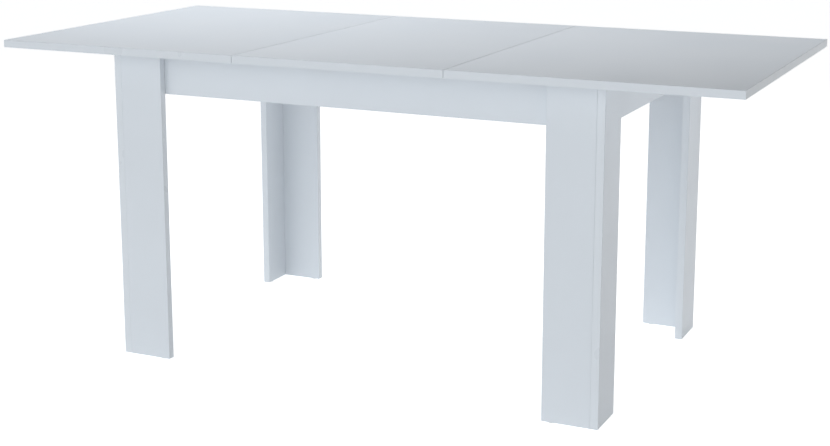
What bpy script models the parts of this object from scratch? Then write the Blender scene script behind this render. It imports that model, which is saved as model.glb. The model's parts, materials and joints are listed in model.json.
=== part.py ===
"""An extending dining table of laminated board, standing open with its leaf in place.

Run it in Blender 4.5:  blender --background --python part.py

Metres, +Z up. The origin is on the floor under the middle of the table, X runs along its length
and Y across it, from the front (-Y) to the back (+Y). The frame is a box of four aprons with an
L-shaped leg of two boards on each corner. Two steel channels lie across the frame, and the two
halves of the top slide in them on aluminium rails. Between the halves lies the loose leaf, which
rests on the channels and is held to each half by two swivel latches.
"""

import math

import bmesh
import bpy
from mathutils import Vector

# Overall sizes
TABLE_HEIGHT = 0.758
TABLE_WIDTH = 0.850
HALF_LENGTH = 0.638
LEAF_LENGTH = 0.517
TOP_THICKNESS = 0.018
END_OVERHANG = 0.0344  # of the closed top over the frame's end
SIDE_OVERHANG = 0.038

# Frame
PANEL = 0.018  # thickness of the boards of the legs, aprons and cross rails
LEG_FACE_WIDTH = 0.128  # along X, with the side board's edge
LEG_SIDE_WIDTH = 0.109  # along Y
APRON_HEIGHT = 0.090
CROSS_RAIL_SPACING = 0.400
CROSS_RAIL_RAISE = 0.008  # its bottom above the bottom of the aprons
BLOCK_WIDTH = 0.040
BLOCK_RAISE = 0.010
EDGE_EASE = 0.0006  # the broken edge of a laminated board

# Clearances
FIT = 0.0003  # between pieces that touch
SEAM_GAP = 0.0008  # between the leaf and each half
TOP_CLEARANCE = 0.003  # under the sliding top, over the legs and aprons
RUNNING_GAP = 0.0005  # between a sliding rail and its channel, and round a latch

# Leg glides and bolts
GLIDE_HEIGHT = 0.0015
GLIDE_EDGE = 0.001  # from the glide to the faces of the leg board
GLIDE_INSET = 0.020  # from the free end of the leg board to the glide's middle
BOLT_RADIUS = 0.003
BOLT_HEAD_RADIUS = 0.0075
BOLT_HEAD_THICKNESS = 0.0025
BOLT_BITE = 0.012  # depth of the bolt in the leg board
FACE_BOLT_DROP = 0.028  # below the top of the frame
SIDE_BOLT_DROP = 0.058

# Channels, fixed to the frame
CHANNEL_TO_LATCH = 0.048  # from the middle of the channel to the latch's pivot, along Y
CHANNEL_WIDTH = 0.032
CHANNEL_HEIGHT = 0.024
CHANNEL_WALL = 0.002
CHANNEL_SLOT = 0.016
CHANNEL_DROP = 0.002  # its top below the top of the frame
STOP_WIDTH = 0.008  # the dimple in the channel's floor that stops the rail
STOP_LENGTH = 0.010
STOP_HEIGHT = 0.004

# Sliding rails, one pair under each half
RAIL_END_SPACE = 0.006  # from the seam's edge of the half to the rail's inner end
RAIL_TUCK = 0.001  # from the frame's end to the rail's outer end when the table is shut
RAIL_WALL = 0.002
RAIL_STEM = 0.008
RAIL_FLANGE_WIDTH = 0.030
RAIL_FLANGE = 0.0022
RAIL_NIB = 0.010  # the filled inner end that meets the dimple
OVERTRAVEL = 0.030  # how far a half pulls out past the leaf

# Leaf pads and latches
PAD_SIDE = 0.028
PAD_SPACING = 0.360
LATCH_TO_APRON = 0.007  # from the open lever's tip to the long apron
LATCH_SETBACK = 0.030  # from the half's seam edge to the latch's pivot
STUD_SETBACK = 0.020  # from the leaf's edge to the stud
PLATE_THICKNESS = 0.0015
LEVER_THICKNESS = 0.003
LEVER_HALF_WIDTH = 0.008
LEVER_TIP = 0.010  # past the stud
PIVOT_RADIUS = 0.004
PIVOT_HEAD_RADIUS = 0.0065
STUD_RADIUS = 0.003
STUD_FLANGE_RADIUS = 0.009
STUD_NOTCH = 0.0012  # room round the stud in the lever's notch
KNOB_RADIUS = 0.005
KNOB_HEIGHT = 0.007

# Worked out from the sizes above
TOP_UNDERSIDE = TABLE_HEIGHT - TOP_THICKNESS
FRAME_TOP = TOP_UNDERSIDE - TOP_CLEARANCE
SEAM_X = LEAF_LENGTH / 2 + SEAM_GAP  # inner edge of a half
FRAME_X = HALF_LENGTH + SEAM_GAP / 2 - END_OVERHANG
FRAME_Y = TABLE_WIDTH / 2 - SIDE_OVERHANG
APRON_OUT_X = FRAME_X - PANEL - FIT
APRON_OUT_Y = FRAME_Y - PANEL - FIT
APRON_IN_X = APRON_OUT_X - PANEL
APRON_IN_Y = APRON_OUT_Y - PANEL
APRON_BOTTOM = FRAME_TOP - APRON_HEIGHT
LEG_BOTTOM = GLIDE_HEIGHT + FIT
GLIDE_RADIUS = PANEL / 2 - GLIDE_EDGE
LEVER_REACH = LATCH_SETBACK + SEAM_GAP + STUD_SETBACK
LATCH_Y = APRON_IN_Y - LATCH_TO_APRON - LEVER_TIP - LEVER_REACH
CHANNEL_TOP = FRAME_TOP - CHANNEL_DROP
CHANNEL_BOTTOM = CHANNEL_TOP - CHANNEL_HEIGHT
CHANNEL_Y = LATCH_Y - CHANNEL_TO_LATCH
CLOSING_TRAVEL = SEAM_X - SEAM_GAP / 2  # of each half, with the leaf out
RAIL_START = SEAM_X + RAIL_END_SPACE
RAIL_END = CLOSING_TRAVEL + APRON_OUT_X - RAIL_TUCK
PLATE_BOTTOM = TOP_UNDERSIDE - FIT - PLATE_THICKNESS
LEVER_TOP = PLATE_BOTTOM - RUNNING_GAP
LEVER_BOTTOM = LEVER_TOP - LEVER_THICKNESS
PIVOT_X = SEAM_X + LATCH_SETBACK
STUD_X = LEAF_LENGTH / 2 - STUD_SETBACK

SIDES = {"left": -1, "right": 1}
ENDS = {"front": -1, "back": 1}


def clear_scene():
    for obj in list(bpy.data.objects):
        bpy.data.objects.remove(obj)


def material(name, colour, roughness, metallic=0.0):
    made = bpy.data.materials.new(name)
    made.use_nodes = True
    shader = made.node_tree.nodes["Principled BSDF"]
    shader.inputs["Base Color"].default_value = (*colour, 1.0)
    shader.inputs["Roughness"].default_value = roughness
    shader.inputs["Metallic"].default_value = metallic
    return made


def empty(name, location=(0.0, 0.0, 0.0)):
    made = bpy.data.objects.new(name, None)
    made.location = location
    bpy.context.scene.collection.objects.link(made)
    return made


def object_from(name, shape, location, parent, finish):
    """A named object with the bmesh's shape, its origin at location, riding on parent."""
    bmesh.ops.recalc_face_normals(shape, faces=shape.faces)
    mesh = bpy.data.meshes.new(name)
    shape.to_mesh(mesh)
    shape.free()
    mesh.materials.append(finish)
    made = bpy.data.objects.new(name, mesh)
    bpy.context.scene.collection.objects.link(made)
    if parent is not None:
        made.parent = parent
        location = Vector(location) - parent.location
    made.location = location
    return made


def box_shape(low, high, centre):
    """A box between two corners, in the frame of centre."""
    shape = bmesh.new()
    bmesh.ops.create_cube(shape, size=1.0)
    for vertex in shape.verts:
        for k in range(3):
            vertex.co[k] = (high[k] if vertex.co[k] > 0 else low[k]) - centre[k]
    return shape


def board(name, low, high, parent, finish, ease=EDGE_EASE):
    """A board between two corners, with its edges broken."""
    centre = [(a + b) / 2 for a, b in zip(low, high)]
    made = object_from(name, box_shape(low, high, centre), centre, parent, finish)
    bevel = made.modifiers.new("eased edges", "BEVEL")
    bevel.width = ease
    bevel.segments = 1
    return made


def mirrored_box(inner, outer, sign):
    """The low and high end of a span measured outwards from the middle, on the side that sign gives."""
    return (inner, outer) if sign > 0 else (-outer, -inner)


def disc_shape(radius, low, high, sides=24, x=0.0, y=0.0):
    """An upright cylinder from height low to high."""
    shape = bmesh.new()
    bmesh.ops.create_cone(
        shape, cap_ends=True, segments=sides, radius1=radius, radius2=radius, depth=high - low
    )
    bmesh.ops.translate(shape, verts=shape.verts, vec=(x, y, (low + high) / 2))
    return shape


def prism_shape(outline, low, high):
    """An outline in X and Y, extruded from height low to high."""
    shape = bmesh.new()
    ring = [shape.verts.new((x, y, low)) for x, y in outline]
    face = shape.faces.new(ring)
    lifted = bmesh.ops.extrude_face_region(shape, geom=[face])["geom"]
    top = [part for part in lifted if isinstance(part, bmesh.types.BMVert)]
    bmesh.ops.translate(shape, verts=top, vec=(0.0, 0.0, high - low))
    return shape


def profile_shape(outline, length):
    """An outline in Y and Z, extruded along X, with its middle at the origin."""
    shape = bmesh.new()
    ring = [shape.verts.new((-length / 2, y, z)) for y, z in outline]
    face = shape.faces.new(ring)
    drawn = bmesh.ops.extrude_face_region(shape, geom=[face])["geom"]
    far = [part for part in drawn if isinstance(part, bmesh.types.BMVert)]
    bmesh.ops.translate(shape, verts=far, vec=(length, 0.0, 0.0))
    return shape


def helper(made):
    """Marks an object as a cutter or a piece to be joined, which isn't itself a part."""
    made.hide_render = True
    made.display_type = "WIRE"
    return made


def combine(target, other, operation):
    """A Boolean of target with a helper object."""
    step = target.modifiers.new(other.name, "BOOLEAN")
    step.operation = operation
    step.object = other


def bolt_drill(name, start, end, finish):
    """A cutter for one bolt's hole, from start to end, which lie on a line along X or Y."""
    start, end = Vector(start), Vector(end)
    shape = disc_shape(BOLT_RADIUS + FIT, 0.0, (end - start).length, sides=16)
    drill = helper(object_from(name, shape, start, None, finish))
    drill.rotation_euler = (end - start).to_track_quat("Z", "Y").to_euler()
    return drill


def bolt(name, start, end, parent, finish):
    """A flat-headed bolt, its head's underside at start and its tip at end."""
    start, end = Vector(start), Vector(end)
    length = (end - start).length
    outline = [
        (0.0, -BOLT_HEAD_THICKNESS),
        (BOLT_HEAD_RADIUS * 0.8, -BOLT_HEAD_THICKNESS),
        (BOLT_HEAD_RADIUS, -BOLT_HEAD_THICKNESS * 0.5),
        (BOLT_HEAD_RADIUS, 0.0),
        (BOLT_RADIUS, 0.0),
        (BOLT_RADIUS, length - BOLT_RADIUS),
        (0.0, length),
    ]
    shape = turned_shape(outline, sides=16)
    made = object_from(name, shape, start, parent, finish)
    made.rotation_euler = (end - start).to_track_quat("Z", "Y").to_euler()
    made.data.shade_smooth()
    made.data.set_sharp_from_angle(angle=math.radians(35))
    return made


def turned_shape(outline, sides):
    """A shape turned about Z from (radius, height) points that start and end on the axis."""
    shape = bmesh.new()
    points = [shape.verts.new((radius, 0.0, height)) for radius, height in outline]
    lines = [shape.edges.new(pair) for pair in zip(points, points[1:])]
    bmesh.ops.spin(
        shape,
        geom=points + lines,
        cent=(0, 0, 0),
        axis=(0, 0, 1),
        angle=2 * math.pi,
        steps=sides,
        use_merge=True,
    )
    bmesh.ops.remove_doubles(shape, verts=shape.verts, dist=1e-6)
    return shape


def make_legs(frame, white, plastic):
    """Each leg is a face board and a side board that covers its end, on two glides."""
    legs = {}
    for side, sx in SIDES.items():
        for end, sy in ENDS.items():
            where = f"{end}_{side}"
            x_low, x_high = mirrored_box(FRAME_X - LEG_FACE_WIDTH, APRON_OUT_X, sx)
            y_low, y_high = mirrored_box(FRAME_Y - PANEL, FRAME_Y, sy)
            legs["face", side, end] = board(
                f"leg_face_{where}",
                (x_low, y_low, LEG_BOTTOM),
                (x_high, y_high, FRAME_TOP),
                frame,
                white,
            )
            x_low, x_high = mirrored_box(FRAME_X - PANEL, FRAME_X, sx)
            y_low, y_high = mirrored_box(FRAME_Y - LEG_SIDE_WIDTH, FRAME_Y, sy)
            legs["side", side, end] = board(
                f"leg_side_{where}",
                (x_low, y_low, LEG_BOTTOM),
                (x_high, y_high, FRAME_TOP),
                frame,
                white,
            )
            spots = {
                "face": (FRAME_X - LEG_FACE_WIDTH + GLIDE_INSET, FRAME_Y - PANEL / 2),
                "side": (FRAME_X - PANEL / 2, FRAME_Y - LEG_SIDE_WIDTH + GLIDE_INSET),
            }
            for which, (x, y) in spots.items():
                shape = disc_shape(GLIDE_RADIUS, 0.0, GLIDE_HEIGHT, sides=20)
                glide = object_from(
                    f"glide_{which}_{where}", shape, (sx * x, sy * y, 0.0), frame, plastic
                )
                glide.data.shade_smooth()
                glide.data.set_sharp_from_angle(angle=math.radians(40))
    return legs


def make_aprons(frame, white):
    """The box of four aprons. The long ones run past the ends of the short ones."""
    low, high = APRON_BOTTOM, FRAME_TOP
    aprons = {}
    for end, sy in ENDS.items():
        y_low, y_high = mirrored_box(APRON_IN_Y, APRON_OUT_Y, sy)
        aprons[end] = board(
            f"apron_{end}", (-APRON_OUT_X, y_low, low), (APRON_OUT_X, y_high, high), frame, white
        )
    reach = APRON_IN_Y - FIT
    for side, sx in SIDES.items():
        x_low, x_high = mirrored_box(APRON_IN_X, APRON_OUT_X, sx)
        aprons[side] = board(
            f"apron_{side}", (x_low, -reach, low), (x_high, reach, high), frame, white
        )
    return aprons


def make_cross_rails(frame, white):
    """Two boards across the frame, under the channels."""
    high = CHANNEL_BOTTOM - FIT
    reach = APRON_IN_Y - FIT
    for side, sx in SIDES.items():
        middle = sx * CROSS_RAIL_SPACING / 2
        board(
            f"cross_rail_{side}",
            (middle - PANEL / 2, -reach, APRON_BOTTOM + CROSS_RAIL_RAISE),
            (middle + PANEL / 2, reach, high),
            frame,
            white,
        )


def make_corners(frame, legs, aprons, wood, steel):
    """A block in each corner, with a bolt into each of the leg's two boards."""
    block_out_x = APRON_IN_X - FIT
    block_out_y = APRON_IN_Y - FIT
    for side, sx in SIDES.items():
        for end, sy in ENDS.items():
            x_low, x_high = mirrored_box(block_out_x - BLOCK_WIDTH, block_out_x, sx)
            y_low, y_high = mirrored_box(block_out_y - FIT - BLOCK_WIDTH, block_out_y - FIT, sy)
            block = board(
                f"corner_block_{end}_{side}",
                (x_low, y_low, APRON_BOTTOM + BLOCK_RAISE),
                (x_high, y_high, CHANNEL_TOP),
                frame,
                wood,
                ease=0.001,
            )
            middle_x = sx * (block_out_x - BLOCK_WIDTH / 2)
            middle_y = sy * (block_out_y - FIT - BLOCK_WIDTH / 2)
            inner_x = sx * (block_out_x - BLOCK_WIDTH - FIT)
            inner_y = sy * (block_out_y - FIT - BLOCK_WIDTH - FIT)
            height = FRAME_TOP - FACE_BOLT_DROP
            start = (middle_x, inner_y, height)
            tip = (middle_x, sy * (FRAME_Y - PANEL + BOLT_BITE), height)
            bolt(f"leg_bolt_face_{end}_{side}", start, tip, frame, steel)
            drill = bolt_drill(f"drill_face_{end}_{side}", start, overshoot(start, tip), steel)
            for cut in (block, aprons[end], legs["face", side, end]):
                combine(cut, drill, "DIFFERENCE")
            height = FRAME_TOP - SIDE_BOLT_DROP
            start = (inner_x, middle_y, height)
            tip = (sx * (FRAME_X - PANEL + BOLT_BITE), middle_y, height)
            bolt(f"leg_bolt_side_{end}_{side}", start, tip, frame, steel)
            drill = bolt_drill(f"drill_side_{end}_{side}", start, overshoot(start, tip), steel)
            for cut in (block, aprons[side], legs["side", side, end]):
                combine(cut, drill, "DIFFERENCE")


def overshoot(start, tip):
    """The bottom of a bolt's hole, a little past the bolt's tip."""
    way = Vector(tip) - Vector(start)
    return Vector(tip) + way.normalized() * FIT * 2


def channel_outline():
    """The section of a channel, in Y and Z: a floor, two walls and two lips over the slot."""
    outer = CHANNEL_WIDTH / 2
    inner = outer - CHANNEL_WALL
    slot = CHANNEL_SLOT / 2
    floor = CHANNEL_WALL
    lip = CHANNEL_HEIGHT - CHANNEL_WALL
    right = [(outer, 0.0), (outer, CHANNEL_HEIGHT), (slot, CHANNEL_HEIGHT), (slot, lip)]
    right += [(inner, lip), (inner, floor)]
    return right + [(-y, z) for y, z in reversed(right)]


def make_channels(frame, aprons, steel):
    """The two channels, let into the end aprons, with a dimple near each end of their floors."""
    stop_x = RAIL_START + RAIL_NIB + OVERTRAVEL + RUNNING_GAP
    for end, sy in ENDS.items():
        place = (0.0, sy * CHANNEL_Y, CHANNEL_BOTTOM)
        shape = profile_shape(channel_outline(), 2 * APRON_OUT_X)
        channel = object_from(f"channel_{end}", shape, place, frame, steel)
        for side, sx in SIDES.items():
            low_x, high_x = mirrored_box(stop_x, stop_x + STOP_LENGTH, sx)
            low = (low_x, sy * CHANNEL_Y - STOP_WIDTH / 2, CHANNEL_BOTTOM + CHANNEL_WALL / 2)
            high = (
                high_x,
                sy * CHANNEL_Y + STOP_WIDTH / 2,
                CHANNEL_BOTTOM + CHANNEL_WALL + STOP_HEIGHT,
            )
            dimple = helper(
                object_from(f"dimple_{end}_{side}", box_shape(low, high, low), low, None, steel)
            )
            combine(channel, dimple, "UNION")
        low = (-FRAME_X, sy * CHANNEL_Y - CHANNEL_WIDTH / 2 - FIT, CHANNEL_BOTTOM - FIT)
        high = (FRAME_X, sy * CHANNEL_Y + CHANNEL_WIDTH / 2 + FIT, FRAME_TOP + PANEL)
        notch = helper(object_from(f"notch_{end}", box_shape(low, high, low), low, None, steel))
        for side in SIDES:
            combine(aprons[side], notch, "DIFFERENCE")


def rail_outline():
    """The section of a sliding rail, in Y and Z from the channel's floor: a body that the channel
    holds, a stem through its slot and a flange under the top."""
    floor = CHANNEL_WALL + FIT
    shoulder = CHANNEL_HEIGHT - CHANNEL_WALL - RUNNING_GAP
    top = TOP_UNDERSIDE - FIT - CHANNEL_BOTTOM
    body = CHANNEL_WIDTH / 2 - CHANNEL_WALL - RUNNING_GAP
    stem = RAIL_STEM / 2
    flange = RAIL_FLANGE_WIDTH / 2
    right = [(body, floor), (body, shoulder), (stem, shoulder), (stem, top - RAIL_FLANGE)]
    right += [(flange, top - RAIL_FLANGE), (flange, top)]
    return right + [(-y, z) for y, z in reversed(right)]


def make_top_half(side, sx, white, aluminium, steel):
    """One half of the top with its two rails and two latches, on its own sliding carriage."""
    carriage = empty(f"carriage_{side}", (sx * SEAM_X, 0.0, TOP_UNDERSIDE))
    x_low, x_high = mirrored_box(SEAM_X, SEAM_X + HALF_LENGTH, sx)
    half_width = TABLE_WIDTH / 2
    board(
        f"top_{side}",
        (x_low, -half_width, TOP_UNDERSIDE),
        (x_high, half_width, TABLE_HEIGHT),
        carriage,
        white,
    )
    length = RAIL_END - RAIL_START
    for end, sy in ENDS.items():
        middle = sx * (RAIL_START + RAIL_END) / 2
        place = (middle, sy * CHANNEL_Y, CHANNEL_BOTTOM)
        shape = profile_shape(rail_outline(), length)
        rail = object_from(f"slide_rail_{end}_{side}", shape, place, carriage, aluminium)
        low_x, high_x = mirrored_box(RAIL_START + RAIL_NIB, RAIL_END + RAIL_WALL, sx)
        reach = CHANNEL_WIDTH / 2 - CHANNEL_WALL - RUNNING_GAP - RAIL_WALL
        low = (low_x, sy * CHANNEL_Y - reach, CHANNEL_BOTTOM)
        ceiling = CHANNEL_TOP - CHANNEL_WALL - RUNNING_GAP - RAIL_WALL
        high = (high_x, sy * CHANNEL_Y + reach, ceiling)
        name = f"hollow_{end}_{side}"
        hollow = helper(object_from(name, box_shape(low, high, low), low, None, aluminium))
        combine(rail, hollow, "DIFFERENCE")
        make_latch(side, end, sx, sy, carriage, steel)


def make_latch(side, end, sx, sy, carriage, steel):
    """A plate with its pivot under the half, and the lever that swings on it to the leaf's stud.
    The lever stands open, pointing at the long apron."""
    pivot = (sx * PIVOT_X, sy * LATCH_Y, 0.0)
    plate_x = LEVER_HALF_WIDTH * 2
    plate_y = LEVER_HALF_WIDTH * 1.4
    low = (pivot[0] - plate_x, pivot[1] - plate_y, PLATE_BOTTOM)
    high = (pivot[0] + plate_x, pivot[1] + plate_y, PLATE_BOTTOM + PLATE_THICKNESS)
    name = f"latch_plate_{end}_{side}"
    plate = object_from(name, box_shape(low, high, pivot), pivot, carriage, steel)
    head_top = LEVER_BOTTOM - RUNNING_GAP
    outline = [
        (0.0, head_top - PLATE_THICKNESS),
        (PIVOT_HEAD_RADIUS, head_top - PLATE_THICKNESS),
        (PIVOT_HEAD_RADIUS, head_top),
        (PIVOT_RADIUS, head_top),
        (PIVOT_RADIUS, PLATE_BOTTOM + PLATE_THICKNESS / 2),
        (0.0, PLATE_BOTTOM + PLATE_THICKNESS / 2),
    ]
    name = f"rivet_{end}_{side}"
    rivet = helper(object_from(name, turned_shape(outline, 24), pivot, None, steel))
    combine(plate, rivet, "UNION")

    hinge = empty(f"latch_pivot_{end}_{side}", pivot)
    hinge.parent = carriage
    hinge.location = Vector(pivot) - carriage.location
    shape = prism_shape(lever_outline(sx * sy), LEVER_BOTTOM, LEVER_TOP)
    lever = object_from(f"latch_lever_{end}_{side}", shape, (0, 0, 0), None, steel)
    lever.parent = hinge
    lever.rotation_euler.z = sy * math.pi / 2
    radius = PIVOT_RADIUS + FIT
    for name, size, low, high, x, operation in (
        ("bore", radius, LEVER_BOTTOM - radius, LEVER_TOP + radius, 0.0, "DIFFERENCE"),
        ("knob", KNOB_RADIUS, LEVER_BOTTOM - KNOB_HEIGHT, LEVER_TOP, LEVER_REACH / 2, "UNION"),
    ):
        shape = disc_shape(size, low, high, sides=24, x=x)
        tool = helper(object_from(f"lever_{name}_{end}_{side}", shape, (0, 0, 0), None, steel))
        tool.parent = hinge
        tool.rotation_euler.z = sy * math.pi / 2
        combine(lever, tool, operation)


def lever_outline(turn):
    """The lever's outline, pointing along X from its pivot at the origin. The notch for the stud is
    open on the side that leads when the lever turns shut, which turn gives."""
    width = LEVER_HALF_WIDTH
    steps = 8
    outline = []
    for k in range(steps + 1):
        angle = math.pi / 2 + math.pi * k / steps
        outline.append((width * math.cos(angle), width * math.sin(angle)))
    notch = STUD_RADIUS + STUD_NOTCH
    tip = LEVER_REACH + LEVER_TIP
    outline += [(tip, -width), (tip, width)]
    outline += [(LEVER_REACH + notch, width), (LEVER_REACH + notch, -notch)]
    outline += [(LEVER_REACH - notch, -notch), (LEVER_REACH - notch, width)]
    return outline if turn > 0 else [(x, -y) for x, y in reversed(outline)]


def make_leaf(white, plastic, steel):
    """The loose leaf, with the pads that it rests on and the studs that the latches hold."""
    carriage = empty("carriage_leaf", (0.0, 0.0, TOP_UNDERSIDE))
    half_width = TABLE_WIDTH / 2
    board(
        "top_leaf",
        (-LEAF_LENGTH / 2, -half_width, TOP_UNDERSIDE),
        (LEAF_LENGTH / 2, half_width, TABLE_HEIGHT),
        carriage,
        white,
    )
    for side, sx in SIDES.items():
        for end, sy in ENDS.items():
            x, y = sx * PAD_SPACING / 2, sy * CHANNEL_Y
            board(
                f"leaf_pad_{end}_{side}",
                (x - PAD_SIDE / 2, y - PAD_SIDE / 2, CHANNEL_TOP + FIT),
                (x + PAD_SIDE / 2, y + PAD_SIDE / 2, TOP_UNDERSIDE - FIT),
                carriage,
                plastic,
            )
            x, y = sx * STUD_X, sy * LATCH_Y
            outline = [
                (0.0, LEVER_BOTTOM - PLATE_THICKNESS),
                (STUD_RADIUS, LEVER_BOTTOM - PLATE_THICKNESS),
                (STUD_RADIUS, PLATE_BOTTOM),
                (STUD_FLANGE_RADIUS, PLATE_BOTTOM),
                (STUD_FLANGE_RADIUS, TOP_UNDERSIDE - FIT),
                (0.0, TOP_UNDERSIDE - FIT),
            ]
            stud = object_from(
                f"latch_stud_{end}_{side}", turned_shape(outline, 24), (x, y, 0.0), carriage, steel
            )
            stud.data.shade_smooth()
            stud.data.set_sharp_from_angle(angle=math.radians(40))


def main():
    clear_scene()
    white = material("white laminate", (0.80, 0.82, 0.84), 0.38)
    plastic = material("white plastic", (0.78, 0.78, 0.76), 0.5)
    wood = material("beech", (0.60, 0.42, 0.25), 0.6)
    steel = material("zinc plated steel", (0.62, 0.63, 0.64), 0.35, 1.0)
    aluminium = material("aluminium", (0.75, 0.76, 0.77), 0.4, 1.0)

    frame = empty("frame")
    legs = make_legs(frame, white, plastic)
    aprons = make_aprons(frame, white)
    make_cross_rails(frame, white)
    make_corners(frame, legs, aprons, wood, steel)
    make_channels(frame, aprons, steel)
    for side, sx in SIDES.items():
        make_top_half(side, sx, white, aluminium, steel)
    make_leaf(white, plastic, steel)


main()
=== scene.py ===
# %% [markdown]
# # The finish of an extending dining table
# The model of this table holds every board, rail and latch at its real size, in plain solids.
# This lesson gives each of them its real surface: laminated boards with banded edges, pressed
# and extruded metal, moulded plastic, and the screws that hold it all. The first step loads the
# model. Each solid is an object named after its piece, and the record lists the body it moves with.

# %% Load the model
import json
import math

import bmesh
import bpy
from mathutils import Matrix, Vector


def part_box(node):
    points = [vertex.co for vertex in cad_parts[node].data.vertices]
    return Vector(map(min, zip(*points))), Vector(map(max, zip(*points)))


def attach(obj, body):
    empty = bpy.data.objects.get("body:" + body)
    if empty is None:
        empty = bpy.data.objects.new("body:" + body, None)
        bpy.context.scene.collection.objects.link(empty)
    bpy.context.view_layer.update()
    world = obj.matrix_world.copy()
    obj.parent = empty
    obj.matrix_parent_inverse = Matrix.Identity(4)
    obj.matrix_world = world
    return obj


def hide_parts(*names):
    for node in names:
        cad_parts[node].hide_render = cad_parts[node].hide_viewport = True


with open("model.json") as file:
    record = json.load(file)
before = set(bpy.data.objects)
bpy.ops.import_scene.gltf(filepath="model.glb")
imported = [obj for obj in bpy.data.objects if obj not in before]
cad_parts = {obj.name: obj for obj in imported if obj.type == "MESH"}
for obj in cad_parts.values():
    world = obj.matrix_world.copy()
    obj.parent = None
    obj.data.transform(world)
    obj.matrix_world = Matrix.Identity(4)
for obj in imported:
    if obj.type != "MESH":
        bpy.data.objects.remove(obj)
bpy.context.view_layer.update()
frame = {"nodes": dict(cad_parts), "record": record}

# %% [markdown]
# ## The names of the pieces
# The table is the same at its left and right, and at its front and back, so most pieces come in
# twos and fours. A list of the four corners and a way to look up a piece's body save writing
# every name out.

# %% Corners, bodies and places
SIDES = {"left": -1, "right": 1}
ENDS = {"front": -1, "back": 1}
CORNERS = [(end, side) for side in SIDES for end in ENDS]
BODY_OF = {
    node: body
    for body, nodes in frame["record"]["behaviour"]["bodies"].items()
    for node in nodes
}


def middle(node):
    """The middle of a piece's box."""
    low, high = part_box(node)
    return (low + high) / 2


frame_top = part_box("apron_front")[1].z
top_low, top_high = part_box("top_leaf")
print("frame up to", round(frame_top, 4), "and top", round(top_low.z, 4), round(top_high.z, 4))

# %% [markdown]
# ## The camera
# The table is seen from in front of its right end and from a little above, as a person would
# see it from a few steps away. A long lens keeps the legs nearly parallel. The lens is shifted
# down a little, as is usual for furniture, so that the camera stays closer to level and the legs
# don't lean.

# %% Place the camera
CAMERA_PLACE = (1.556, -3.352, 1.239)
CAMERA_HEADING = math.radians(24.95)  # from straight at the back, turned to the left
CAMERA_DIP = math.radians(11.44)
LENS_MM = 66.9
LENS_SHIFT = -0.0904


def make_camera():
    lens = bpy.data.cameras.new("camera")
    lens.lens = LENS_MM
    lens.shift_y = LENS_SHIFT
    camera = bpy.data.objects.new("camera", lens)
    camera.location = CAMERA_PLACE
    camera.rotation_euler = (math.pi / 2 - CAMERA_DIP, 0.0, CAMERA_HEADING)
    bpy.context.scene.collection.objects.link(camera)
    bpy.context.scene.camera = camera


make_camera()
print("camera", round((Vector(CAMERA_PLACE) - middle("top_leaf")).length, 2), "m from the leaf")

# %% [markdown]
# ## A helper for node trees
# Light, materials and repeated screws are all made with trees of nodes. One short helper adds a
# node and says what goes into it.

# %% Add a node
def add(tree, kind, links=None, **settings):
    """A node of that kind. Its inputs are given values or are linked from other nodes' outputs."""
    node = tree.nodes.new(kind)
    for label, value in settings.items():
        setattr(node, label, value)
    for label, value in (links or {}).items():
        if isinstance(value, bpy.types.NodeSocket):
            tree.links.new(value, node.inputs[label])
        else:
            node.inputs[label].default_value = value
    return node


def math_node(tree, operation, first, second):
    """The result of a Math node, in a shader tree or in a Geometry Nodes tree."""
    return add(tree, "ShaderNodeMath", {0: first, 1: second}, operation=operation).outputs[0]


# %% [markdown]
# ## Light
# A white table on a white floor shows its shape only by soft differences in brightness. Most of the
# light comes from the room itself: a dome with two broad bright patches, like two white walls that
# lamps are turned to. One is in front of the table and lights its front faces. The other is behind
# it, to the left. It is seen mirrored in the top, which is why the top is brightest at the left and
# fades to the right. The camera itself sees plain white in place of the dome.

# %% Make the dome
PLAIN_WHITE = (1.0, 1.0, 1.0, 1.0)
DOME_LEVEL = 0.06
# name: (direction, half angle in degrees, strength, colour)
WALLS = {
    "front wall": ((-0.3, -1.0, 0.25), 60.0, 1.39, (0.95, 1.0, 1.045)),
    "back left wall": ((-0.6, 1.0, 0.10), 50.0, 0.82, (1.0, 1.0, 1.0)),
}


def add_wall(tree, direction, facing, half_angle, strength, colour):
    """A background that is bright round one direction and fades away from it."""
    towards = {0: direction, 1: Vector(facing).normalized()}
    near = add(tree, "ShaderNodeVectorMath", towards, operation="DOT_PRODUCT").outputs["Value"]
    edge = math.cos(math.radians(half_angle))
    fading = {"Value": near, "From Min": edge, "To Max": strength}
    fade = add(tree, "ShaderNodeMapRange", fading, interpolation_type="SMOOTHSTEP").outputs[0]
    return add(tree, "ShaderNodeBackground", {"Color": (*colour, 1.0), "Strength": fade}).outputs[0]


def make_dome():
    world = bpy.data.worlds.new("white studio")
    world.use_nodes = True
    tree = world.node_tree
    tree.nodes.clear()
    direction = add(tree, "ShaderNodeTexCoord").outputs["Generated"]
    base = {"Color": PLAIN_WHITE, "Strength": DOME_LEVEL}
    light = add(tree, "ShaderNodeBackground", base).outputs[0]
    for wall in WALLS.values():
        patch = add_wall(tree, direction, *wall)
        light = add(tree, "ShaderNodeAddShader", {0: light, 1: patch}).outputs[0]
    plain = add(tree, "ShaderNodeBackground", {"Color": PLAIN_WHITE}).outputs[0]
    seen = add(tree, "ShaderNodeLightPath").outputs["Is Camera Ray"]
    both = add(tree, "ShaderNodeMixShader", {0: seen, 1: light, 2: plain}).outputs[0]
    add(tree, "ShaderNodeOutputWorld", {"Surface": both})
    bpy.context.scene.world = world


make_dome()
bpy.context.scene.view_settings.view_transform = "Standard"
print("dome with the", " and the ".join(WALLS))

# %% [markdown]
# ### The lamps
# A round softbox hangs over the back left corner and looks straight down, and a spotlight behind
# the table does so too. Together they make the top a little brighter at the back than along its
# front edge, where the edge of the spot's cone fades out. A weaker softbox stands behind, to the
# right, and keeps the right-hand faces of the back legs from going grey.

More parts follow.
